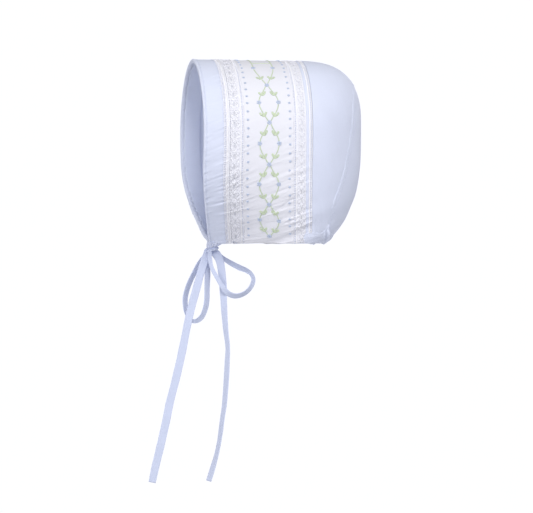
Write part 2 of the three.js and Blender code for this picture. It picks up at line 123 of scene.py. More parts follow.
def section_point(depth, around):
    """Outer cloth in a cross section: around is 0 on the crown, 0.5 at the widest, 1 at the neck."""
    behind = np.maximum(0, depth - MIDDLE_DEPTH) / (BACK_DEPTH - MIDDLE_DEPTH)
    reach = np.sqrt(1 - behind**2)
    share = depth / MIDDLE_DEPTH
    top = CROWN_HEIGHT - TOP_DROP * np.minimum(1, share)
    angle = np.clip(1 - 2 * around, 0, 1) * math.pi / 2
    power = 2 / look_up(ROUND, share)
    rise = (top - SIDE_HEIGHT) * (1 - behind ** (2 + BACK_ROUND)) ** (1 / (2 + BACK_ROUND))
    height = SIDE_HEIGHT * np.clip(2 - 2 * around, 0, 1)
    neck = CHIN_HALF_GAP + (NECK_HALF_WIDTH - CHIN_HALF_GAP) * look_up(NECK, share)
    full = FACE_FULLNESS + (EAR_FULLNESS - FACE_FULLNESS) * np.minimum(1, share)
    side = neck + (HALF_WIDTH * reach - neck) * fullness(height / SIDE_HEIGHT, full)
    upper = around <= 0.5
    return np.stack([
        np.where(upper, HALF_WIDTH * reach * np.abs(np.cos(angle)) ** power, side),
        depth + np.where(upper, 0, drawn_back(depth, height)),
        np.where(upper, SIDE_HEIGHT + rise * np.sin(angle) ** power, height),
    ], -1)


def level_section(height):
    """Behind the ears: the middle depth, half width and reach back of a level section."""
    share = np.minimum(height / SIDE_HEIGHT, 1)
    centre = MIDDLE_DEPTH + drawn_back(MIDDLE_DEPTH, height)
    side = NECK_HALF_WIDTH + (HALF_WIDTH - NECK_HALF_WIDTH) * fullness(share, EAR_FULLNESS)
    back = NAPE_DEPTH + (BACK_DEPTH - NAPE_DEPTH) * fullness(share, BACK_FULLNESS)
    return centre, side, back - centre


def onto_back(points):
    """Points behind the ears, moved onto the rounded back."""
    x, y, z = np.moveaxis(points, -1, 0)
    centre, side, back = level_section(z)
    level_scale = 1 / np.hypot(x / side, (y - centre) / back)
    behind = (y - MIDDLE_DEPTH) / (BACK_DEPTH - MIDDLE_DEPTH)
    level = np.hypot(x / HALF_WIDTH, behind)
    above = np.maximum(0, (z - SIDE_HEIGHT) / (TOP_HEIGHT - SIDE_HEIGHT))
    power = 2 + BACK_ROUND * (behind / level) ** 2
    scale = (level**power + above**power) ** (-1 / power)
    low = z <= SIDE_HEIGHT
    return np.stack([
        x * np.where(low, level_scale, scale),
        np.where(low, centre + (y - centre) * level_scale,
                 MIDDLE_DEPTH + (y - MIDDLE_DEPTH) * scale),
        np.where(low, z, SIDE_HEIGHT + (z - SIDE_HEIGHT) * scale),
    ], -1)


def seam_point(around):
    """The horseshoe seam from its top, 0, to the nape, 1."""
    angle = np.clip(1 - 2 * around, 0, 1) * math.pi / 2
    behind = (SEAM_SIDE_DEPTH - MIDDLE_DEPTH) / (BACK_DEPTH - MIDDLE_DEPTH)
    widest = HALF_WIDTH * math.sqrt(1 - behind * behind)
    upper = onto_back(np.stack([
        widest * np.abs(np.cos(angle)),
        SEAM_SIDE_DEPTH + (SEAM_TOP_DEPTH - SEAM_SIDE_DEPTH) * np.sin(angle),
        SIDE_HEIGHT + (SEAM_TOP_HEIGHT - SIDE_HEIGHT) * np.sin(angle),
    ], -1))
    share = np.clip(2 - 2 * around, 0, 1)
    depth = SEAM_NAPE_DEPTH + (SEAM_SIDE_DEPTH - SEAM_NAPE_DEPTH) * look_up(SEAM, share)
    height = SIDE_HEIGHT * share
    centre, side, reach = level_section(height)
    lower = np.stack([side * np.sqrt(1 - ((depth - centre) / reach) ** 2), depth, height], -1)
    return np.where((around <= 0.5)[..., None], upper, lower)


# Places of the back seam and of the middle of the back.
AT_SEAM = 2
AT_MIDDLE = 3


def cloth(place, row):
    """Points of the outer cloth in the row frame. Place is 0 at the face edge, 1 at the last trim,
    2 at the horseshoe seam and 3 at the middle of the back; row is -1 and 1 at the neck edges."""
    place, row = together(place, row)
    around = np.abs(row)
    strip = section_point(np.minimum(place, 1) * LAST_TRIM, around)
    seam = seam_point(around)
    start = section_point(np.full_like(around, LAST_TRIM), around)
    share = np.clip(place - 1, 0, 1)[..., None]
    settle = (start - onto_back(start)) * (1 - share)
    fan = onto_back(start + (seam - start) * share) + settle
    out = np.where(around < 0.5, np.sin(math.pi * around), 1)
    top = seam_point(np.zeros(1))[0]
    middle = onto_back(np.stack([
        np.zeros_like(out),
        top[1] + (BACK_DEPTH - top[1]) * out,
        seam[..., 2],
    ], -1))
    inward = np.clip(place - 2, 0, 1)[..., None]
    back = onto_back(seam + (middle - seam) * inward)
    where = place[..., None]
    points = np.where(where <= 1, strip, np.where(where <= 2, fan, back))
    points[..., 0] *= np.where(row < 0, -1, 1)
    return points - ORIGIN


def unit(vectors):
    return vectors / np.maximum(np.linalg.norm(vectors, axis=-1, keepdims=True), 1e-9)


def facing(place, row):
    """The direction that the outer cloth faces."""
    place, row = together(place, row)
    step = 0.004
    sign = np.where(row < 0, -1, 1)
    down = np.where(place > AT_SEAM, sign * np.maximum(np.abs(row), 0.03), row)
    low = np.maximum(0, np.ceil(place) - 1)
    after, before = np.minimum(place + step, low + 1), np.maximum(place - step, low)
    along = cloth(after, down) - cloth(before, down)
    around = cloth(place, np.minimum(down + step, 1)) - cloth(place, np.maximum(down - step, -1))
    normal = np.cross(around, along)
    normal[..., 0] *= np.where(place == AT_MIDDLE, 0, 1)
    return unit(normal)


def surface(place, row):
    """Points of the outer cloth, and the directions that it faces there."""
    return cloth(place, row), facing(place, row)


def height_of(points):
    """Heights over the neck edge."""
    return points[..., 2] + ORIGIN[2]


def pull(points):
    """The part's soft pulls, which rise towards the back above the neck edge."""
    depth, height = points[..., 1] + ORIGIN[1], height_of(points)
    near = np.clip(1 - height / PULL_RISE, 0, 1)
    return PULL_HEIGHT * near * np.sin(2 * math.pi * (height - PULL_SLOPE * depth) / PULL_LENGTH)


def noise(x, y, seed=0):
    """Smooth fixed noise from -1 to 1, with a value for each whole number of x and y."""
    x, y = together(x, y)
    column, line = np.floor(x), np.floor(y)
    across, up = x - column, y - line
    across, up = across**2 * (3 - 2 * across), up**2 * (3 - 2 * up)

    def value(i, j):
        waves = np.sin(i * 127.1 + j * 311.7 + seed * 74.7) * 43758.5453
        return 2 * (waves - np.floor(waves)) - 1

    low, high = (value(column, at) * (1 - across) + value(column + 1, at) * across
                 for at in (line, line + 1))
    return low * (1 - up) + high * up


def creases(x, y, seed=0):
    """Narrow folds between flatter stretches, from about -0.4 to 1."""
    wide = noise(x, y, seed)
    return 0.6 * wide + 0.9 * np.maximum(0, noise(x * 1.9, y * 1.4, seed + 1)) ** 1.5


# Lengths in millimetres along the cloth from the crown, for each depth of the strips.
ROWS = np.linspace(-1, 1, 1201)
DEPTHS = np.linspace(0, LAST_TRIM, 84)
SECTIONS = cloth(DEPTHS[:, None] / LAST_TRIM, ROWS[None, :])
STEPS = np.linalg.norm(np.diff(SECTIONS, axis=1), axis=-1)
LENGTHS = np.concatenate([np.zeros((len(DEPTHS), 1)), np.cumsum(STEPS, axis=1)], 1)
LENGTHS -= LENGTHS[:, len(ROWS) // 2][:, None]


def between_depths(depth, at, read):
    """What is read from the length table's two nearest depths, mixed."""
    depth, at = together(depth, at)
    place = np.clip(depth / LAST_TRIM * (len(DEPTHS) - 1), 0, len(DEPTHS) - 1.001)
    line = np.floor(place).astype(int)
    share = place - line
    mixed = np.empty(depth.shape)
    for number in np.unique(line):
        here = line == number
        low, high = (read(near, at[here]) for near in (number, number + 1))
        mixed[here] = low + (high - low) * share[here]
    return mixed


def row_at(depth, length):
    """The row of each length from the crown."""
    return between_depths(depth, length, lambda line, at: np.interp(at, LENGTHS[line], ROWS))


def length_at(depth, row):
    """The length from the crown of each row."""
    return between_depths(depth, row, lambda line, at: np.interp(at, ROWS, LENGTHS[line]))


def ends_at(depth):
    """The length from the crown to the neck edge at a depth."""
    return float(length_at(depth, 1.0))


# Puckers beside the stitched lines: depth of the line, and their reach and height.
PUCKERS = [
    (2.4, 5.0, 0.42), (15.4, 6.0, 0.62), (30.9, 6.0, 0.42), (68.5, 8.0, 0.5), (82.9, 3.5, 0.2),
]
# The sharpest folds, at the third ladder and across the front lace: depth, reach and height.
SHARP_FOLDS = [(64, 8, 26), (25, 7, 44)]


def ripple(depth, length, height):
    """How far the cloth of the strips stands out of its smooth form."""
    down = np.abs(length)
    low = np.clip(1 - height / 95, 0, 1)
    lift = np.zeros(np.broadcast(depth, length).shape)
    for number, (line, reach, size) in enumerate(PUCKERS):
        near = np.exp(-np.abs(depth - line) / reach)
        lift = lift + size * near * (0.3 + low) * noise(
            (down + 0.4 * depth) / 1.7, depth / 13 + 7 * number)
    slanted = np.clip((depth - 20) / 30, 0.3, 1) * low
    lift = lift + 0.75 * slanted * creases((down + 0.42 * depth) / 3.4, depth / 26, 3)
    for middle, reach, rise in SHARP_FOLDS:
        near = np.exp(-((depth - middle) / reach) ** 2 - ((height - rise) / 15) ** 2)
        lift = lift + 0.8 * near * creases((down + 0.7 * depth) / 2.3, depth / 22, 9)
    chin = np.clip(1 - depth / 20, 0, 1) * np.clip(1 - height / 16, 0, 1)
    return lift + 0.55 * chin * noise(depth / 1.9, height / 14, 5)


def strip_surface(depth, row, length):
    """The strips' smooth cloth, its normals, and how far its folds stand out there."""
    points, normal = surface(np.asarray(depth, float) / LAST_TRIM, row)
    return points, normal, pull(points) + ripple(depth, length, height_of(points))


def strip_point(depth, length, raised):
    """Points raised over the strips' cloth, by depth and length along it, with their normals."""
    points, normal, lift = strip_surface(depth, row_at(depth, length), length)
    return points + normal * (raised + lift)[..., None], normal


def travelled(points):
    """The way along a line of points to each of them."""
    steps = np.linalg.norm(np.diff(points, axis=0), axis=1)
    return np.concatenate([[0], np.cumsum(steps)])


# A part is (points, faces, lengths for the weave) in millimetres, and a piece joins some parts.
def grid_faces(rows, columns, start=0):
    """The faces of a grid of points that are numbered from start."""
    number = start + np.arange(rows * columns).reshape(rows, columns)
    return np.stack([number[:-1, :-1], number[1:, :-1], number[1:, 1:], number[:-1, 1:]],
                    -1).reshape(-1, 4)


def sheet_part(top, under, weave, whole=False):
    """A sheet from a grid of points, with its rim and, if whole, its underside."""
    number = np.arange(top[..., 0].size).reshape(top.shape[:2])
    edge = np.concatenate([number[0, :-1], number[:-1, -1], number[-1, :0:-1], number[:0:-1, 0]])
    faces = [grid_faces(*number.shape)]
    kept, below = edge, np.arange(len(edge)) + number.size
    if whole:
        faces.append(grid_faces(*number.shape, number.size)[:, ::-1])
        kept, below = number.ravel(), edge + number.size
    faces.append(np.stack([edge, np.roll(edge, -1), np.roll(below, -1), below], -1))
    top, under, weave = (grid.reshape(-1, grid.shape[-1]) for grid in (top, under, weave))
    return (np.concatenate([top, under[kept]]), np.concatenate(faces),
            np.concatenate([weave, weave[kept]]))


def squared_circle(turn, power):
    """The two coordinates of a circle at each turn, with corners if the power is under 1."""
    return (np.sign(way) * np.abs(way) ** power for way in (np.cos(turn), np.sin(turn)))


def tube_part(centres, across, up, half_across, half_up, sides=8, square=2.0, cupped=0.0):
    """A closed tube through its ring centres, with a rounded or squarer section."""
    wide, tall = squared_circle((np.arange(sides) + 0.5) * 2 * math.pi / sides, 2 / square)
    count = len(centres)
    half_across, half_up = (np.broadcast_to(half, count)[:, None] for half in (half_across, half_up))
    reach, rise = wide * half_across, tall * half_up + cupped * (wide**2 - 0.5)
    rings = centres[:, None] + across[:, None] * reach[..., None] + up[:, None] * rise[..., None]
    number = np.arange(count * sides).reshape(count, sides)
    turned = np.roll(number, -1, axis=1)
    faces = np.stack([number[:-1], turned[:-1], turned[1:], number[1:]], -1).reshape(-1, 4)
    half = sides // 2
    cap = np.array([(k, sides - 1 - k, sides - 2 - k, k + 1) for k in range(half - 1)])
    faces = np.concatenate([faces, cap, cap[:, ::-1] + (count - 1) * sides])
    weave = np.stack(np.broadcast_arrays(reach, travelled(centres)[:, None]), -1)
    return rings.reshape(-1, 3), faces, weave.reshape(-1, 2)


def ball():
    """A small ball of four-cornered faces, for stitches and petals."""
    points, faces = [], []
    for axis, sign in itertools.product(range(3), (-1, 1)):
        faces.append(grid_faces(3, 3, len(points))[:, ::sign])
        points += [np.roll((sign, i, j), axis) for i in (-1, 0, 1) for j in (-1, 0, 1)]
    return unit(np.array(points, float)), np.concatenate(faces)


def ring():
    """A small ring with a nearly closed middle, for knots wound of floss."""
    round_ring, round_floss = 10, 6
    turn, tilt = np.meshgrid(2 * math.pi * (np.arange(round_ring) / round_ring),
                             2 * math.pi * (np.arange(round_floss) / round_floss), indexing="ij")
    reach = 0.52 + 0.48 * np.cos(tilt)
    points = np.stack([reach * np.cos(turn), reach * np.sin(turn), 0.5 * np.sin(tilt)], -1)
    number = np.arange(turn.size).reshape(turn.shape)
    after = np.roll(number, -1, axis=0)
    faces = np.stack([number, after, np.roll(after, -1, 1), np.roll(number, -1, 1)], -1)
    return points.reshape(-1, 3), faces.reshape(-1, 4)


def copies(form, centre, forward, normal, sizes):
    """One part of many copies of a form, each with its sizes forward, sideways and outwards."""
    points, faces = form
    sizes = np.broadcast_to(np.asarray(sizes, float), centre.shape)
    sideways = unit(np.cross(normal, forward))
    placed = centre[:, None] + sum(
        points[None, :, axis:axis + 1] * (way * sizes[:, axis:axis + 1])[:, None]
        for axis, way in enumerate([forward, sideways, normal]))
    shift = np.arange(len(centre))[:, None, None] * len(points)
    weave = np.stack([placed[..., 1], placed[..., 2]], -1)
    return placed.reshape(-1, 3), (faces + shift).reshape(-1, 4), weave.reshape(-1, 2)


BALL = ball()
RING = ring()


def stitches(starts, ends, half_width, half_height, raised):
    """Stitches from one point to another of the strips, each given by depth and length."""
    (first, _), (last, _), (middle, normal) = (
        strip_point(*at.T, raised) for at in (starts, ends, (starts + ends) / 2))
    long = np.linalg.norm(last - first, axis=1)
    sizes = np.stack(np.broadcast_arrays(long / 2, half_width, half_height), -1)
    return copies(BALL, middle, unit(last - first), normal, sizes)


def piece(name, finish, parts, nodes=()):
    """A smooth piece of joined parts, in a finish's material, which stands for CAD nodes and hides
    them.
    """
    material, slot = finish
    points, faces, weave = zip(*parts)
    starts = np.cumsum([0] + [len(part) for part in points])
    faces = np.concatenate([part + start for part, start in zip(faces, starts)])
    points, weave = np.concatenate(points), np.concatenate(weave)
    mesh = bpy.data.meshes.new(name)
    mesh.from_pydata(points * MM, [], faces, shade_flat=False)
    layer = mesh.uv_layers.new(name="weave")
    layer.data.foreach_set("uv", weave[faces.ravel()].astype(np.float32).ravel())
    mesh.validate()
    mesh.materials.append(material)
    made = bpy.data.objects.new(name, mesh)
    scene.collection.objects.link(made)
    if nodes:
        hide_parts(*nodes)
    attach(made, "root")
    return made


def linear(code):
    """A colour from its sRGB hex code."""
    parts = [int(code[start:start + 2], 16) / 255 for start in (1, 3, 5)]
    return [v / 12.92 if v <= 0.04045 else ((v + 0.055) / 1.055) ** 2.4 for v in parts] + [1.0]


def add_node(tree, kind, settings=None, **inputs):
    """A node with its settings, and with values or links for its inputs."""
    made = tree.nodes.new(kind)
    for name, value in (settings or {}).items():
        setattr(made, name, value)
    for name, value in inputs.items():
        socket = made.inputs[name.replace("_", " ")]
        if isinstance(value, bpy.types.NodeSocket):
            tree.links.new(value, socket)
        else:
            socket.default_value = value
    return made


# A wave texture's band is this wide at scale 1.
WAVE_BAND = 0.314


def new_material(name, **values):
    """A material and its shader, with values of the shader's own sockets."""
    material = bpy.data.materials.new(name)
    material.use_nodes = True
    shader = material.node_tree.nodes["Principled BSDF"]
    for socket, value in values.items():
        shader.inputs[socket.replace("_", " ")].default_value = value
    return material, shader


def woven(name, slot, colour, roughness, sheen, thread, bump, variation):
    """A material of woven threads and its slot: thread is their pitch and bump their relief in
    millimetres, and variation the share by which the shade changes."""
    material, shader = new_material(name, Roughness=roughness, IOR=1.5, Metallic=0.0,
                                    Sheen_Weight=sheen, Sheen_Roughness=0.6)
    tree = material.node_tree
    lengths = add_node(tree, "ShaderNodeUVMap", {"uv_map": "weave"}).outputs["UV"]

    def mean(first, second):
        mixed = add_node(tree, "ShaderNodeMix", {"data_type": "FLOAT"}, Factor=0.5,
                         A=first.outputs["Fac"], B=second.outputs["Fac"])
        return mixed.outputs["Result"]

    warp_and_weft = (
        add_node(tree, "ShaderNodeTexWave", {"bands_direction": way}, Vector=lengths,
                 Scale=WAVE_BAND / thread, Distortion=0.6, Detail=1.0) for way in "XY")
    slubs_and_patches = (
        add_node(tree, "ShaderNodeTexNoise", Vector=lengths, Scale=scale, Detail=detail)
        for scale, detail in ((0.9, 4.0), (0.05, 2.0)))
    shade = add_node(tree, "ShaderNodeMapRange", Value=mean(*slubs_and_patches), From_Min=0.3,
                     From_Max=0.7, To_Min=1 - variation, To_Max=1 + variation)
    base = add_node(tree, "ShaderNodeVectorMath", {"operation": "SCALE"},
                    Vector=linear(colour)[:3], Scale=shade.outputs["Result"])
    tree.links.new(base.outputs["Vector"], shader.inputs["Base Color"])
    relief = add_node(tree, "ShaderNodeBump", Strength=1.0, Distance=bump * MM,
                      Height=mean(*warp_and_weft))
    tree.links.new(relief.outputs["Normal"], shader.inputs["Normal"])
    return material, slot


# Finishes, each a material with its slot.
# Fine cotton batiste: a matte, slightly downy cloth whose slubs give the eye a faint grain.
blue_cotton = woven("blue_batiste", "blue_cotton", "#cfd5ea", 0.85, 0.15, 0.36, 0.03, 0.03)
# The same batiste inside, with painted light: its colour is lighter and bluer than the outer
# cloth's, to stand for the light that comes through both layers and to lift the shade inside.
inner_cotton = woven("inner_batiste_painted_light", "inner_cotton", "#d5dcf2", 0.88, 0.1, 0.36, 0.03, 0.03)
# White batiste of the panel, with the same grain and a cool white.
white_cotton = woven("white_batiste", "white_cotton", "#dcdde8", 0.85, 0.15, 0.36, 0.03, 0.02)
# Cotton lace and ladder thread: bright and dry, with raised cords that catch the light.
lace_thread = woven("lace_cotton", "white_lace", "#e6e7f1", 0.8, 0.2, 0.3, 0.02, 0.02)
# Corded cotton of the trims' edges: a tighter thread, whose whiter colour is partly the thread's own
# and partly painted highlight, so that the cords read as fine bright lines.
highlit_cord_thread = woven("corded_cotton_painted_highlight", "white_lace", "#f1f1f8", 0.7, 0.1, 0.3, 0.02, 0.01)
# Narrow cotton tape of the ties, closer woven and a little smoother than the batiste.
tie_cotton = woven("tie_cotton", "tie_cotton", "#c0c8e2", 0.75, 0.15, 0.4, 0.03, 0.02)
# Stranded cotton floss, mercerised, so it is smoother than the cloth.
green_floss = woven("green_floss", None, "#bfcdb3", 0.6, 0.2, 0.25, 0.03, 0.04)
blue_floss = woven("blue_floss", None, "#b4c0d8", 0.6, 0.2, 0.25, 0.03, 0.04)
# Sewing thread of the same blue as the cloth.
blue_thread = woven("blue_thread", None, "#cbd4e8", 0.6, 0.1, 0.25, 0.02, 0.02)


# Rows for plain cloth with fine puckers, and for the narrow strips of the trims.
FINE_ROWS = np.linspace(-1, 1, 861)
COARSE_ROWS = np.linspace(-1, 1, 561)
# How deep the cloth's rim is, and where it is turned in over the lining at the neck edge.
RIM = 0.9
TURNED_IN = 2.3
NECK_EDGE = 0.9999


def outer_part(upper, normal, row, weave):
    """A sheet part of the outer cloth, turned in over the lining at the neck edge."""
    thick = np.where(np.abs(row) > NECK_EDGE, TURNED_IN, RIM)
    return sheet_part(upper, upper - normal * thick[..., None], weave)


def strip_grid(start, end, count, raised, rows=COARSE_ROWS):
    """A sheet part over the strips from one depth to another, raised over the outer cloth."""
    depth, row = np.meshgrid(np.linspace(start, end, count), rows)
    length = length_at(depth, row)
    points, normal, lift = strip_surface(depth, row, length)
    upper = points + normal * (lift + raised)[..., None]
    return outer_part(upper, normal, row, np.stack([depth, length], -1))


# The ties: rows of a route are across, back and up in millimetres from just under the knot, the
# degrees by which the cloth is turned edge on, and its width as a share.
TIE_WIDTH = 6.0
TIE_HALF_THICKNESS = 0.45
TIE_POINTS = 420
TIE_START = np.array([0, -44.4, -142.03])
LEFT_TIE = [
    (1.6, -1.6, 5.0, 0, 0.4), (0.6, -1.2, 3.2, 0, 0.4), (-2.6, -2.6, 1.4, 0, 0.5),
    (-2.8, -3.2, 0.0, 0, 0.55), (-2.8, -3.6, -1.7, 0, 0.5), (-3.0, -8.9, -8.4, -25, 0.66),
    (-3.0, -14.3, -18.7, -45, 1.0), (-2.9, -18.9, -29.3, -50, 1.15), (-2.8, -20.5, -36.6, -50, 1.15),
    (-2.6, -20.1, -43.8, -48, 1.05), (-2.5, -18.4, -49.1, -40, 0.8), (-2.4, -15.9, -52.4, 0, 0.5),
    (-2.3, -12.4, -53.2, 25, 0.55), (-2.1, -8.1, -50.2, 42, 0.95), (-2.3, -4.8, -42.3, 48, 1.15),
    (-2.3, -3.7, -30.9, 48, 1.15), (-2.2, -3.5, -18.7, 42, 1.1), (-1.6, -3.7, -8.8, 10, 0.65),
    (-1.2, -2.8, 0.0, 0, 0.6), (-0.9, -2.0, 1.6, 0, 0.4), (0.0, -1.6, 2.6, 0, 0.35),
    (0.7, -2.8, 1.6, 0, 0.5), (0.8, -3.9, 0.0, 0, 0.8), (0.9, -4.5, -2.6, 0, 0.88),
    (1.4, -7.7, -11.9, 0, 1), (2.0, -12.2, -27.8, 0, 1), (2.2, -16.6, -43.8, 0, 1),
    (2.2, -19.2, -55.2, 0, 1), (2.0, -23.8, -78.0, 0, 1), (1.8, -28.0, -96.2, 0, 1),
    (1.8, -32.7, -114.5, 0, 1), (2.0, -36.5, -132.7, 0, 1), (2.2, -40.8, -150.9, 0, 1),
    (2.4, -44.2, -164.6, 0, 1), (2.5, -46.5, -175.3, 0, 0.92),
]
RIGHT_TIE = [
    (-1.6, -1.0, 5.0, 0, 0.4), (-1.6, 0.4, 3.2, 0, 0.4), (-2.4, 2.0, 1.4, 0, 0.5),
    (-2.6, 2.8, 0.0, 0, 0.6), (-2.7, 3.6, -1.6, 0, 0.7), (-2.6, 8.7, -5.4, -5, 0.52),
    (-3.0, 14.9, -9.3, -12, 0.66), (-2.6, 21.4, -12.7, -15, 0.74), (-2.0, 26.3, -14.7, -15, 0.62),
    (-1.0, 30.2, -17.6, 0, 0.5), (0.0, 31.6, -21.7, -15, 0.55), (1.0, 29.6, -27.2, -38, 0.75),
    (2.0, 24.5, -31.9, -50, 0.95), (2.8, 17.8, -33.9, -50, 0.95), (3.2, 12.9, -32.7, -45, 0.9),
    (3.6, 9.5, -30.0, -30, 0.75), (3.8, 6.2, -25.3, -10, 0.6), (3.7, 2.4, -19.0, 0, 0.52),
    (3.6, -0.9, -12.6, 0, 0.5), (3.4, -2.3, -6.5, 0, 0.6), (3.1, -2.3, 0.0, 0, 0.5),
    (2.4, -1.6, 1.8, 0, 0.4), (1.2, 0.2, 2.6, 0, 0.35), (0.4, 1.8, 1.6, 0, 0.5),
    (0.2, 2.0, 0.0, 0, 1.0), (0.9, 2.5, -1.6, 0, 1.1), (1.4, 4.9, -5.4, 0, 1.05),
    (1.5, 6.3, -10.6, 0, 0.96), (1.0, 7.8, -21.7, 12, 0.95), (0.6, 8.5, -30.9, 25, 0.92),
    (0.2, 9.2, -43.8, 42, 0.9), (0.4, 10.4, -59.7, 54, 0.88), (0.6, 12.0, -74.9, 62, 0.88),
    (0.8, 11.4, -88.5, 60, 1), (1.0, 10.2, -105.3, 62, 1), (1.0, 9.1, -119.0, 64, 1),
    (1.0, 7.1, -132.7, 67, 1), (1.0, 5.2, -144.9, 69, 1), (1.0, 2.9, -155.5, 68, 1),
    (1.0, 0.2, -164.6, 60, 1), (1.0, -2.9, -174.5, 52, 0.92),
]


def smooth_route(rows, count):
    """A centripetal Catmull-Rom curve through the rows' points, with the other columns straight."""
    points = rows[:, :3]
    points = np.array([2 * points[0] - points[1], *points, 2 * points[-1] - points[-2]])
    at = np.linspace(0, len(rows) - 1, count)
    row = np.minimum(at.astype(int), len(rows) - 2)
    share = (at - row)[:, None]
    p0, p1, p2, p3 = (points[row + shift] for shift in range(4))
    t0, t1, t2 = (np.sqrt(np.linalg.norm(b - a, axis=1))[:, None]
                  for a, b in ((p0, p1), (p1, p2), (p2, p3)))
    out = t1 * ((p1 - p0) / t0 - (p2 - p0) / (t0 + t1) + (p2 - p1) / t1)
    into = t1 * ((p2 - p1) / t1 - (p3 - p1) / (t1 + t2) + (p3 - p2) / t2)
    curve = p1 + share * (out + share * ((-3 * p1 + 3 * p2 - 2 * out - into)
                                         + share * (2 * p1 - 2 * p2 + out + into)))
    other = rows[row, 3:] + (rows[row + 1, 3:] - rows[row, 3:]) * share
    return curve, other


def tie(name, route, seed, nodes):
    """A flat tie through the knot: out of the chin corner, round its loop and down its tail."""
    centres, other = smooth_route(np.array(route, float), TIE_POINTS)
    centres = centres + TIE_START
    tangent = unit(np.gradient(centres, axis=0))
    across = unit(np.cross(np.array([1.0, 0, 0]), tangent))
    turn = np.radians(other[:, 0])[:, None]
    across = across * np.cos(turn) + np.cross(tangent, across) * np.sin(turn)
    up = np.cross(tangent, across)
    travel = travelled(centres)
    half = TIE_WIDTH / 2 * other[:, 1] * (1 + 0.035 * noise(travel / 7, 0, seed))
    # The folded cloth in the knot lies straight, and the free cloth waves a little.
    free = np.clip((other[:, 1] - 0.5) / 0.5, 0, 1)
    centres = centres + up * (0.25 * free * noise(travel / 11, 3, seed))[:, None]
    part = tube_part(centres, across, up, half, TIE_HALF_THICKNESS, 16, 3.2, 0.3)
    made = piece(name, tie_cotton, [part], nodes)


tie("left_tie", LEFT_TIE, 11, ["left_tie_loop", "left_tie_tail"])
tie("right_tie", RIGHT_TIE, 12, ["right_tie_loop", "right_tie_tail"])


# The chin corners' gathers and the knot under them: height over the neck edge, depth of the
# middle, half depth, half width and how far the pleats stand out.
GATHERS = [
    (1.6, 18.0, 6.0, 5.2, 0.2), (0.4, 17.8, 6.1, 5.6, 0.4), (-0.6, 17.2, 5.7, 5.0, 0.6),
    (-1.6, 16.6, 4.9, 4.4, 0.7), (-2.5, 16.1, 4.1, 3.8, 0.6), (-3.3, 15.9, 3.4, 2.7, 0.3),
    (-3.6, 15.9, 3.0, 2.2, 0.1),
]
KNOT = [
    (-2.9, 15.9, 2.8, 2.0, 0.0), (-3.4, 15.8, 3.8, 3.2, 0.1), (-4.0, 15.6, 4.6, 4.0, 0.25),
    (-4.8, 15.4, 5.0, 4.2, 0.3), (-5.6, 15.2, 4.8, 3.7, 0.2), (-6.0, 15.2, 3.6, 2.2, 0.0),
    (-6.1, 15.2, 0.4, 0.3, 0.0),
]
# How much higher the knot's back is than its front, as a share of its depth.
KNOT_SLANT = 0.26
KNOT_PLEATS = 12


def wound_part(rows):
    """A pleated, slanting form through its rows, round the chin corner."""
    rows = np.array(rows)
    at = np.linspace(0, len(rows) - 1, 37)
    height, middle, deep, wide, pleat = (
        np.interp(at, np.arange(len(rows)), column)[:, None] for column in rows.T)
    turn = np.linspace(0, 2 * math.pi, 97)[None]
    folds = pleat * np.sin(KNOT_PLEATS * turn + 3 * np.sin(2 * turn) + 0.5 * height)
    out, back = squared_circle(turn, 0.8)
    slant = KNOT_SLANT * np.clip(-height / 3.3, 0, 1)
    points = np.stack([
        out * (wide + folds),
        middle - SEAT_DEPTH + back * (deep + folds),
        height - ORIGIN[2] + slant * back * deep + 0 * turn,
    ], -1)
    weave = np.stack([turn * 4 + 0 * height, height + 0 * turn], -1)
    return points.reshape(-1, 3), grid_faces(*points.shape[:2]), weave.reshape(-1, 2)


piece("chin_gathers_cloth", blue_cotton, [wound_part(GATHERS)])
piece("bow_knot_cloth", tie_cotton, [wound_part(KNOT)], ["bow_knot"])

# The folded edge round the face: depth and height of its section's points.
BINDING = [
    (2.0, 0.0), (1.7, 0.3), (1.1, 0.5), (0.45, 0.35), (0.08, -0.3), (0, -1.25),
    (0.12, -2.0), (0.45, -2.6), (1.0, -2.8), (1.9, -2.85), (2.55, -2.75),
]


def binding_part():
    """The folded edge, with its section all along the strips' rows."""
    depths, heights = np.array(BINDING).T
    depth, row = np.meshgrid(depths, FINE_ROWS)
    length = length_at(depth, row)
    points, normal, lift = strip_surface(depth, row, length)
    points = points + normal * (lift + heights)[..., None]
    weave = np.stack([heights + 0 * length, length], -1)
    return points.reshape(-1, 3), grid_faces(*depth.shape), weave.reshape(-1, 2)


def at_depth(depth, lengths):
    """Places at one depth, as rows of depth and length."""
    return np.stack([np.full_like(lengths, depth), lengths], -1)


def stitch_line(depth, pitch, long):
    """A row of running stitches at one depth, over the crown from neck edge to neck edge."""
    end = ends_at(depth) - 1
    at = np.arange(-end, end, pitch)
    return stitches(at_depth(depth, at), at_depth(depth, at + long), 0.13, 0.14, 0.1)


piece("front_binding_cloth", blue_cotton, [binding_part()], ["front_binding"])
band = piece("front_band_cloth", blue_cotton,
             [strip_grid(1.85, 15.5, 26, 0.0, FINE_ROWS)], ["front_band"])
panel = piece("embroidered_panel_cloth", white_cotton,
              [strip_grid(30.7, 68.7, 51, 0.0, FINE_ROWS)], ["embroidered_panel"])


# Ladder trims: start, hole start, hole end, end and bright cord, as depths.
LADDER_PITCH = 1.36
# How far the casing covers the trims that run under it, and the depth behind which they do.
UNDER_CASING = 8.6
COVERED_DEPTH = 79
# Half widths of the thick cord beside a ladder's holes, and of the thin ones along them.
THICK_CORD = 0.34
THIN_CORD = 0.2
LADDERS = [
    ("ladder_trim_1", 15.5, 15.75, 17.15, 18.8, 18.0),
    ("ladder_trim_2", 28.0, 29.0, 30.3, 30.85, 28.4),
    ("ladder_trim_3", 68.6, 69.05, 70.4, 71.3, 70.9),
    ("ladder_trim_4", 78.1, 81.25, 82.5, 83.1, 80.7),
]


def trim_end(depth):
    """The length to a trim's lower end: the neck edge, or the top of the casing over it."""
    return ends_at(depth) - (UNDER_CASING if depth > COVERED_DEPTH else 0.2)


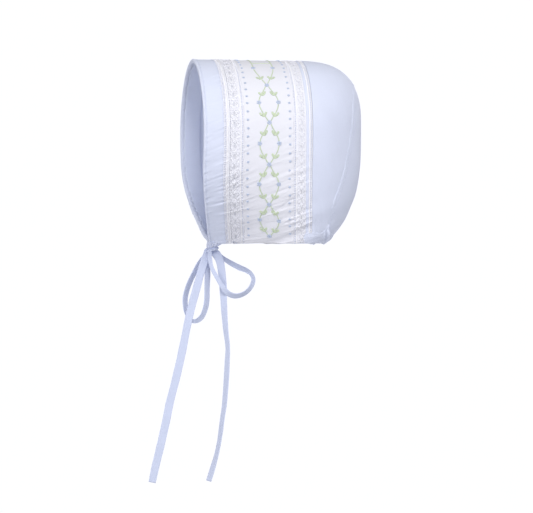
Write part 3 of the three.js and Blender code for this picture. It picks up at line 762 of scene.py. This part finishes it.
def cord_part(depth, radius, raised):
    """A raised cord at one depth, with the small swellings of its stitches."""
    end = trim_end(depth)
    at = np.arange(-end, end, LADDER_PITCH / 2)
    centres, normal = strip_point(*at_depth(depth, at).T, raised)
    tangent = unit(np.gradient(centres, axis=0))
    thick = radius * (1 + 0.25 * np.cos(2 * math.pi * at / LADDER_PITCH))
    return tube_part(centres, np.cross(normal, tangent), normal, thick, thick * 0.9, 6)


def rungs(start, end):
    """The ends of a ladder's rungs, from one depth to another."""
    reach = trim_end((start + end) / 2) - 0.3
    at = np.arange(-reach, reach, LADDER_PITCH)
    return at_depth(start, at), at_depth(end, at)


def ladder_parts(start, hole_start, hole_end, end):
    """A ladder trim: cloth on both sides of its holes, rungs between them, and thin cords."""
    return [
        strip_grid(max(start, hole_start - 1), hole_start, 3, 0.02),
        strip_grid(hole_end, end, 3, 0.02),
        stitches(*rungs(hole_start - 0.5, hole_end + 0.5), 0.36, 0.3, 0.05),
        cord_part(hole_start, THIN_CORD, 0.08),
        cord_part(hole_end, THIN_CORD, 0.08),
    ]


for name, *depths, _ in LADDERS:
    piece(name + "_thread", lace_thread, ladder_parts(*depths), [name])
# The trims' thick cords, whose extra white is partly painted highlight.
piece("ladder_cords", highlit_cord_thread, [cord_part(row[-1], THICK_CORD, 0.2) for row in LADDERS])
# The blue cloth that shows in the holes.
piece("ladder_holes_cloth", blue_cotton,
      [strip_grid(row[2], row[3], 3, -0.15) for row in LADDERS])
# The cloth that is sewn between the last lace and its ladder.
piece("ladder_trim_4_tape", blue_cotton, [strip_grid(78.1, 80.4, 5, 0.0)])


def mirrored(rows):
    """A chart's rows, and the mirror images of those beside its middle line."""
    return rows + [(-across, along, -angle, *half)
                   for across, along, angle, *half in rows if across]


# Lace, charted for one repeat: petals and leaves with their place across and along the
# lace, the angle of their long side from the lace's length in degrees, and half sizes.
FRONT_CHART = mirrored([
    (0.0, 0.0, 0, 0.7, 0.62), (0.0, 1.25, 0, 0.95, 0.62), (0.0, -1.25, 0, 0.95, 0.62),
    (1.2, 0.45, 62, 0.95, 0.6), (1.2, -0.55, 118, 0.95, 0.6), (2.4, 2.2, 35, 1.25, 0.55),
    (2.5, -2.3, -38, 1.2, 0.5), (1.7, 3.5, -20, 0.95, 0.42), (3.1, 0.1, 0, 0.85, 0.42),
])
BACK_CHART = mirrored([
    (0.0, 0.0, 0, 0.55, 0.5), (0.0, 1.0, 0, 0.75, 0.5), (0.0, -1.0, 0, 0.75, 0.5),
    (0.95, 0.35, 62, 0.75, 0.48), (0.95, -0.45, 118, 0.75, 0.48), (1.8, 1.9, 35, 0.95, 0.45),
    (1.9, -1.9, -38, 0.9, 0.4),
])
# Half widths of the net's threads in its ground and across its gaps, the width of a strip's
# headings, and the length under which a petal at its edge is left out.
GROUND_THREAD = 0.27
GAP_THREAD = 0.13
HEADING = 0.9
SHORTEST_PETAL = 0.8


def net_part(start, end, pitch, middle, repeat, gap):
    """The lace's ground: two ways of slanting threads, finer across its gaps."""
    reach = min(ends_at(start), ends_at(end)) - 0.3
    depth = np.linspace(start, end, 15)
    feet = np.arange(-reach, reach, pitch)
    quads = []
    for lean in (1, -1):
        along = feet[:, None] + lean * (depth - middle)[None, :]
        wide = np.broadcast_to(depth, along.shape)
        whole = np.abs(along) < reach
        whole = whole[:, :-1] & whole[:, 1:]
        from_flower = (along + repeat / 2) % repeat - repeat / 2
        from_gap = from_flower - repeat / 2 * np.sign(from_flower)
        open_here = ((wide - middle) / gap[0]) ** 2 + (from_gap / gap[1]) ** 2 < 1
        points, normal = strip_point(wide, np.clip(along, -reach, reach), -0.15)
        half_width = np.where(open_here, GAP_THREAD, GROUND_THREAD)[..., None]
        sideways = np.cross(normal, unit(np.gradient(points, axis=1))) * half_width
        both = np.stack([points - sideways, points + sideways], 2)
        quads.append(np.concatenate([both[:, :-1], both[:, 1:, ::-1]], 2)[whole])
    points = np.concatenate(quads).reshape(-1, 3)
    faces = np.arange(len(points)).reshape(-1, 4)
    return points, faces, points[:, 1:]


def lace_parts(start, end, middle, repeat, chart, gap, beading=0.0):
    """A strip of lace: headings, the first with beading holes if they have a width, net with a row
    of gaps, and raised flowers and leaves."""
    reach = min(ends_at(start), ends_at(end)) - 1.2
    count = int(reach / repeat) + 1
    centre = (np.arange(-count, count + 1) * repeat)[:, None]
    across, along, angle, long, wide = np.array(chart, float).T
    middles = np.stack(np.broadcast_arrays(middle + across, centre + along), -1)
    way = np.radians(angle)
    half = np.stack([np.sin(way), np.cos(way)], -1) * long[:, None]
    low, high = [start + 0.3, -reach], [end - 0.3, reach]
    first, last = (np.clip(middles + side * half, low, high).reshape(-1, 2) for side in (-1, 1))
    inside = np.linalg.norm(last - first, axis=1) > SHORTEST_PETAL
    widths = np.tile(wide, len(centre))[inside]
    net_start = start + 0.8 + beading
    parts = [
        strip_grid(start, start + HEADING, 3, -0.05),
        strip_grid(end - HEADING, end, 3, -0.05),
        net_part(net_start, end - 0.8, 0.85, middle, repeat, gap),
        stitches(first[inside], last[inside], widths, 0.34, 0.12),
        cord_part(start + HEADING + 0.05, THIN_CORD, 0.05),
        cord_part(end - HEADING - 0.05, THIN_CORD, 0.05),
    ]
    if beading:
        parts.append(stitches(*rungs(start + 0.7, net_start + 0.3), 0.32, 0.22, -0.02))
        parts.append(cord_part(net_start + 0.1, 0.26, 0.05))
    return parts


piece("lace_strip_front_thread", lace_thread,
      lace_parts(18.8, 28.0, 23.6, 8.0, FRONT_CHART, (1.0, 2.7), 1.0), ["lace_strip_front"])
piece("lace_strip_back_thread", lace_thread,
      lace_parts(71.3, 78.1, 74.7, 6.6, BACK_CHART, (0.7, 1.8)), ["lace_strip_back"])

# The embroidery. Flowers lie along the vine at heights over the neck edge. Over the crown its two
# stems run straight, between bars that join them.
VINE_DEPTH = 50.0
VINE_HALF = 7.4
STEM_HALF_GAP = 0.5
# How far a stem stands out of the middle, from one flower, 0, past the side flower to the next, 1.
VINE_BOW = [
    (0, 0), (0.1, 0.2), (0.22, 0.5), (0.34, 0.83), (0.44, 0.98), (0.5, 1),
    (0.58, 0.97), (0.68, 0.84), (0.79, 0.58), (0.9, 0.24), (1, 0),
]
BAR_LENGTH = 18.5
FLOWER_HEIGHTS = [119.0, 90.8, 59.3, 29.3, 5.7]
SIDE_HEIGHTS = [132.6, 106.0, 75.1, 44.5, 17.3]
FLOWER_SIZE = 1.45
# Over the crown's flower the stems lean together: how far out, and the share of the way to it.
MEETING = [(7.4, 0.1), (6.6, 0.3), (4.2, 0.62), (0.9, 0.92)]
# A cup's leaves: the angle of each from the vine, its length, and where it starts beside the stem.
LEAVES = [(-0.5, 3.0, -1.3), (0.0, 2.3, 0.0), (0.35, 3.5, 1.2), (1.57, 2.8, -1.3)]
# Places of the leaf cups along a stem, from one flower, 0, to the next, 1.
CUPS = (0.24, 0.79)
KNOT_ROWS = [33.7, 65.7]
KNOT_SPACING = 6.4
KNOT_SIZES = (0.88, 1.0, 0.65)
# Half width, half height and rise over the cloth of the single stitches.
STEM_STITCH = (0.46, 0.3, 0.12)
LEAF_STITCH = (0.64, 0.3, 0.1)
PETAL_STITCH = (0.78, 0.34, 0.15)


def length_of_height(height):
    """The length from the crown, at the vine, of a height over the neck edge."""
    rows = np.linspace(0, 1, 801)
    heights = height_of(cloth(VINE_DEPTH / LAST_TRIM, rows))
    return length_at(VINE_DEPTH, np.interp(height, heights[::-1], rows[::-1]))


centres = length_of_height(np.array(FLOWER_HEIGHTS))
sides = length_of_height(np.array(SIDE_HEIGHTS))


def flower(depth, length):
    """Five petals in a ring, as stitches that start at its middle."""
    turn = np.arange(5) * 2 * math.pi / 5 + 0.3 * depth
    way = np.stack([np.sin(turn), np.cos(turn)], -1)
    middle = np.array([depth, length])
    return middle + way * FLOWER_SIZE * 0.1, middle + way * FLOWER_SIZE * 1.3


def stem(points, pitch=1.15):
    """Stem stitches through points of (depth, length), each slanted a little over the next."""
    points = np.array(points, float)
    travel = travelled(points)
    starts = np.arange(0, travel[-1], pitch)
    return tuple(np.stack([np.interp(at, travel, column) for column in points.T], -1)
                 for at in (starts, starts + 1.5 * pitch))


def leaf_cluster(depth, length, inward):
    """A cup of leaves that opens towards the crown."""
    up = -math.copysign(1, length)
    leaves = []
    for lean, long, shift in LEAVES:
        way = np.array([inward * math.sin(lean), up * math.cos(lean)])
        foot = np.array([depth + inward * shift, length - up * 1.6])
        for beside in (-0.36, 0.36):
            aside = way[::-1] * (beside, -beside)
            leaves.append((foot + aside * 0.4, foot + way * long + aside))
    return leaves


def embroidery():
    """The vine's stem and leaf stitches in green, and its flowers' stitches in blue."""
    green, leaves, petals = [], [], []
    links = zip(centres[:-1], sides[1:], centres[1:])
    for link, sign, hand in itertools.product(links, (1, -1), (-1, 1)):
        t = np.linspace(0, 1, 25)
        length = np.interp(t, [0, 0.5, 1], sign * np.array(link))
        out = STEM_HALF_GAP + (VINE_HALF - STEM_HALF_GAP) * look_up(VINE_BOW, t)
        path = np.stack([VINE_DEPTH + hand * out, length], -1)
        green += [stem(path[1:12]), stem(path[13:24])]
        for share in CUPS:
            leaves += leaf_cluster(*(np.interp(share, t, column) for column in path.T), -hand)
        petals.append(flower(VINE_DEPTH + hand * VINE_HALF, sign * link[1]))
    for sign in (1, -1):
        bar = sign * BAR_LENGTH
        green.append(stem([(VINE_DEPTH - VINE_HALF, bar), (VINE_DEPTH + VINE_HALF, bar)]))
        for hand in (-1, 1):
            edge = VINE_DEPTH + hand * VINE_HALF
            petals.append(flower(edge, sign * sides[0]))
            green.append(stem([(edge, 0), (edge, sign * (sides[0] - 1.5))]))
            fall = centres[0] - sides[0]
            path = [(VINE_DEPTH + hand * out, sign * (sides[0] + fall * share))
                    for out, share in MEETING]
            green.append(stem(path))
            leaves += leaf_cluster(*path[2], -hand)
        petals += [flower(VINE_DEPTH, sign * middle) for middle in centres]
    stems, petals = (map(np.concatenate, zip(*made)) for made in (green, petals))
    cups = stitches(*map(np.array, zip(*leaves)), *LEAF_STITCH)
    return [stitches(*stems, *STEM_STITCH), cups], stitches(*petals, *PETAL_STITCH)


def knots_part():
    """Rows of knots wound of floss, from the crown down both sides."""
    places = []
    for depth in KNOT_ROWS:
        count = int((ends_at(depth) - 3) / KNOT_SPACING)
        at = (np.arange(-count, count) + 0.5) * KNOT_SPACING
        at = at + 0.5 * noise(np.arange(len(at)) * 1.7, depth)
        places.append(np.stack([depth + 0.3 * noise(at, 8), at], -1))
    depth, length = np.concatenate(places).T
    points, normal = strip_point(depth, length, 0.22)
    forward = unit(np.cross(normal, np.array([0, 1.0, 0])))
    return copies(RING, points, forward, normal, KNOT_SIZES)


green_parts, blue_part = embroidery()
piece("vine_stitches", green_floss, green_parts)
piece("flower_stitches", blue_floss, [blue_part, knots_part()])


def soft(points, seed):
    """Broad soft dents of unpressed cloth."""
    x, y, z = np.moveaxis(points, -1, 0)
    return (0.45 * noise(y / 26 + x / 60, z / 31, seed)
            + 0.12 * noise(y / 9, z / 13 + x / 20, seed + 1))


def lengths_of(points):
    """How far each point of a grid lies along its row and down its column, for the weave."""
    along = np.linalg.norm(np.diff(points, axis=1, prepend=points[:, :1]), axis=-1)
    down = np.linalg.norm(np.diff(points, axis=0, prepend=points[:1]), axis=-1)
    return np.stack([np.cumsum(along, 1), np.cumsum(down, 0)], -1)


def panel_part(place, row, near_trim, seed):
    """A plain panel with dents, gathers over the casing and, if near a trim, its puckers."""
    points, normal = surface(place, row)
    height = height_of(points)
    weave = lengths_of(points)
    lift = pull(points) + soft(points, seed)
    low = np.clip(1 - height / 34, 0, 1) ** 2
    lift = lift + 0.5 * low * noise(weave[..., 0] / 2.1, height / 40, seed + 2)
    seam = np.exp(-np.abs(place - AT_SEAM) * 9)
    lift = lift + 0.3 * seam * noise(np.abs(row) * 26, place * 4, seed + 3)
    edge = np.exp(-near_trim / 3) * 0.14 * noise(np.abs(row) * 80, 2, seed + 4)
    lift = (lift + edge) * np.clip(np.abs(place - AT_SEAM) / 0.05, 0.3, 1)
    return outer_part(points + normal * lift[..., None], normal, row, weave)


def back_grid(columns, rows, top, reach=1.0):
    """Places and rows over the back, from one side of the seam across the middle to the other."""
    turn, around = np.meshgrid(np.linspace(-1, 1, columns), np.linspace(top, 1, rows))
    return AT_MIDDLE - np.abs(turn) * reach, np.where(turn < 0, -1, 1) * around


place, row = np.meshgrid(np.linspace(1.012, 1.975, 60), COARSE_ROWS)
crown = piece("crown_panel_cloth", blue_cotton,
              [panel_part(place, row, (place - 1) * 38, 21)], ["crown_panel"])
back = piece("back_panel_cloth", blue_cotton,
             [panel_part(*back_grid(121, 241, 0.045, 0.97), np.inf, 31)], ["back_panel"])


def seam_parts():
    """The raised horseshoe seam, and a row of stitches on each side of it."""
    row = np.linspace(-0.955, 0.955, 360)
    points, normal = surface(AT_SEAM, row)
    tangent = unit(np.gradient(points, axis=0))
    across = unit(np.cross(normal, tangent))
    centres = points + normal * (pull(points) - 0.2)[:, None]
    half = 2.2 + 0.2 * noise(row * 60, 1)
    parts = [tube_part(centres, across, normal, half, 0.4 + 0.1 * noise(row * 28, 2), 14, 3.0)]
    for side in (-1.6, 1.6):
        at = centres + across * side + normal * 0.45
        first, last = at[2:-4:4], at[4:-2:4]
        long = np.linalg.norm(last - first, axis=1)
        sizes = np.stack(np.broadcast_arrays(long / 2, 0.16, 0.12), -1)
        parts.append(copies(BALL, (first + last) / 2, unit(last - first), normal[3:-3:4], sizes))
    return parts


piece("back_seam_piping", blue_cotton, seam_parts(), ["back_seam"])

# The gathered casing round the nape, from over the last lace to the middle of the back.
CASING_START = 0.92
CASING_HEIGHT = 8.2
GATHER_LENGTH = 3.3
# The tuck's middle behind the back seam and its width, along the casing, and the lengths of one
# place before and behind the seam.
TUCK_AT = -0.3
TUCK_WIDTH = 2.7
LENGTH_BEFORE = 12.0
LENGTH_BEHIND = 36.0


def casing_part():
    """The casing, puffed between its edge and its stitched line, and flatter in front."""
    turn = np.linspace(-1, 1, 541)
    down = np.linspace(0, 1, 22)
    place = AT_MIDDLE - np.abs(turn) * (AT_MIDDLE - CASING_START)
    from_seam = (place - AT_SEAM) * np.where(place < AT_SEAM, LENGTH_BEFORE, LENGTH_BEHIND)
    from_tuck = from_seam - TUCK_AT
    tuck = np.exp(-((from_tuck / TUCK_WIDTH) ** 2))
    top = CASING_HEIGHT * (1 + 0.75 * tuck)
    start = np.clip((place - CASING_START) / 0.045, 0, 1)
    top = top * (0.45 + 0.55 * np.sqrt(1 - (1 - start) ** 2))
    turn, down = np.meshgrid(turn, down)
    place = np.broadcast_to(place, turn.shape)
    around = 1 - top * (1 - down) / SIDE_HEIGHT / 2
    row = np.where(turn < 0, -1, 1) * around
    points, normal = surface(place, row)
    weave = lengths_of(points)
    gather = noise(weave[..., 0] / GATHER_LENGTH * 2, down * 1.2, 41)
    pleat = np.cos(2 * math.pi * from_tuck / TUCK_WIDTH + 0.8 * np.sin(5 * down))
    puff = np.sin(math.pi * np.clip(down * 1.02, 0, 1)) ** 0.8
    sewn = 1 - 0.5 * np.exp(-((down - 0.2) / 0.07) ** 2)
    full = np.clip(0.45 + (from_tuck + 3) / 7, 0.45, 1)
    lift = 0.06 + puff * sewn * (
        full * (0.8 + 0.7 * gather * (1 - tuck)) + tuck * (1.4 + 1.3 * pleat))
    lift = lift * (0.3 + 0.7 * start) + pull(points)
    hem = down > 0.999
    lift = lift * np.where(hem, 0.3, 1)
    upper = points + normal * lift[..., None]
    upper[..., 2] -= 1.1 * tuck * down**2 * (0.8 + 0.2 * pleat)
    inside = np.where(hem, 2.6, 0.5) + lift * hem
    return sheet_part(upper, upper - normal * inside[..., None], weave)


piece("nape_casing_cloth", blue_cotton, [casing_part()], ["nape_casing"])

# Heights of the lining's two faces over the outer cloth, and depths of its front edge and of the
# edge of the facing inside.
LINING_OUTSIDE = -1.5
LINING_INSIDE = -2.45
LINING_START = 2.6
FACING_END = 15.2


def lining_part(place, row, ridge):
    """The lining: its inside has small creases, puckers beside the binding, and the ridge of the
    facing that the band's seam holds."""
    points, normal = surface(place, row)
    weave = lengths_of(points)
    inner = 0.18 * noise(weave[..., 1] / 3.2, weave[..., 0] / 12, 51) * np.clip(
        1.2 - height_of(points) / 110, 0.3, 1)
    beside = np.exp(-np.maximum(0, place * LAST_TRIM - LINING_START) / 2.6)
    inner = inner + 0.55 * beside * np.minimum(0.3, noise(weave[..., 1] / 3.3, place * 6, 52))
    lift = pull(points)
    upper = points + normal * (lift + LINING_OUTSIDE)[..., None]
    under = points + normal * (lift + LINING_INSIDE - 0.3 * ridge + inner)[..., None]
    return sheet_part(upper, under, weave, whole=True)


depths = np.concatenate([
    np.linspace(LINING_START, FACING_END, 12), [15.5], np.linspace(16.5, LAST_TRIM, 30)])
place, row = np.meshgrid(
    np.concatenate([depths / LAST_TRIM, np.linspace(1, 2, 18)[1:]]), np.linspace(-1, 1, 321))
facing_edge = 1 - np.clip((place * LAST_TRIM - FACING_END) / 0.3, 0, 1)
# The lining is in the inner batiste, whose lighter colour is painted light.
lining = piece("lining_cloth", inner_cotton, [
    lining_part(place, row, facing_edge),
    lining_part(*back_grid(61, 121, 0.02), 0.0),
], ["lining"])
piece("edge_stitches", blue_thread, [stitch_line(2.5, 2.0, 1.5), stitch_line(14.6, 1.7, 1.2)])

# Soft studio light: a surround that is a wall of very light blue round the horizon, and greyer
# above and below it, with a lamp over the camera and weaker ones at its sides.
WALL_COLOUR = (1, 1.01, 1.07)
# Where the surround changes, as the height of a direction, and its strengths there.
SURROUND = [(-0.6, -0.06, 0.12, 1.0), (0.06, 0.45, 1.0, 0.22)]
world = bpy.data.worlds.new("studio")
world.use_nodes = True
tree = world.node_tree
aim = add_node(tree, "ShaderNodeTexCoord").outputs["Generated"]
aim = add_node(tree, "ShaderNodeSeparateXYZ", Vector=aim).outputs["Z"]
strength = WALL_COLOUR
for low, high, first, last in SURROUND:
    share = add_node(tree, "ShaderNodeMapRange", {"interpolation_type": "SMOOTHSTEP"}, Value=aim,
                     From_Min=low, From_Max=high, To_Min=first, To_Max=last)
    strength = add_node(tree, "ShaderNodeVectorMath", {"operation": "SCALE"},
                        Vector=strength, Scale=share.outputs["Result"]).outputs["Vector"]
tree.links.new(strength, tree.nodes["Background"].inputs["Color"])
scene.world = world
# Lamps, all a little warm: name, size, power and place.
LAMP_COLOUR = (1.0, 0.985, 0.93)
LAMPS = [
    ("key", 0.8, 34, (1.65, -0.15, 1.5)),
    ("fill", 1.0, 12.5, (1.5, -2.1, -0.2)),
    ("back", 1.0, 9, (1.2, 1.6, 1.5)),
]
for name, size, power, place in LAMPS:
    light = bpy.data.lights.new(name, "AREA")
    light.shape, light.size, light.energy, light.color = "DISK", size, power, LAMP_COLOUR
    lamp = bpy.data.objects.new(name, light)
    lamp.location = place
    lamp.rotation_euler = (VIEW_CENTRE - lamp.location).to_track_quat("-Z", "Y").to_euler()
    scene.collection.objects.link(lamp)
scene.view_settings.view_transform = "Standard"

# The floor lies below the ties, out of the photo's view.
FLOOR_HEIGHT = -0.366
bpy.ops.mesh.primitive_circle_add(vertices=96, radius=0.5, fill_type="NGON",
                                  location=(0, 0, FLOOR_HEIGHT))
floor = bpy.context.object
floor.name = "floor"
floor_finish, _ = new_material("studio_floor", Base_Color=linear("#f4f4f4"), Roughness=0.9)
floor.data.materials.append(floor_finish)

bpy.context.view_layer.update()
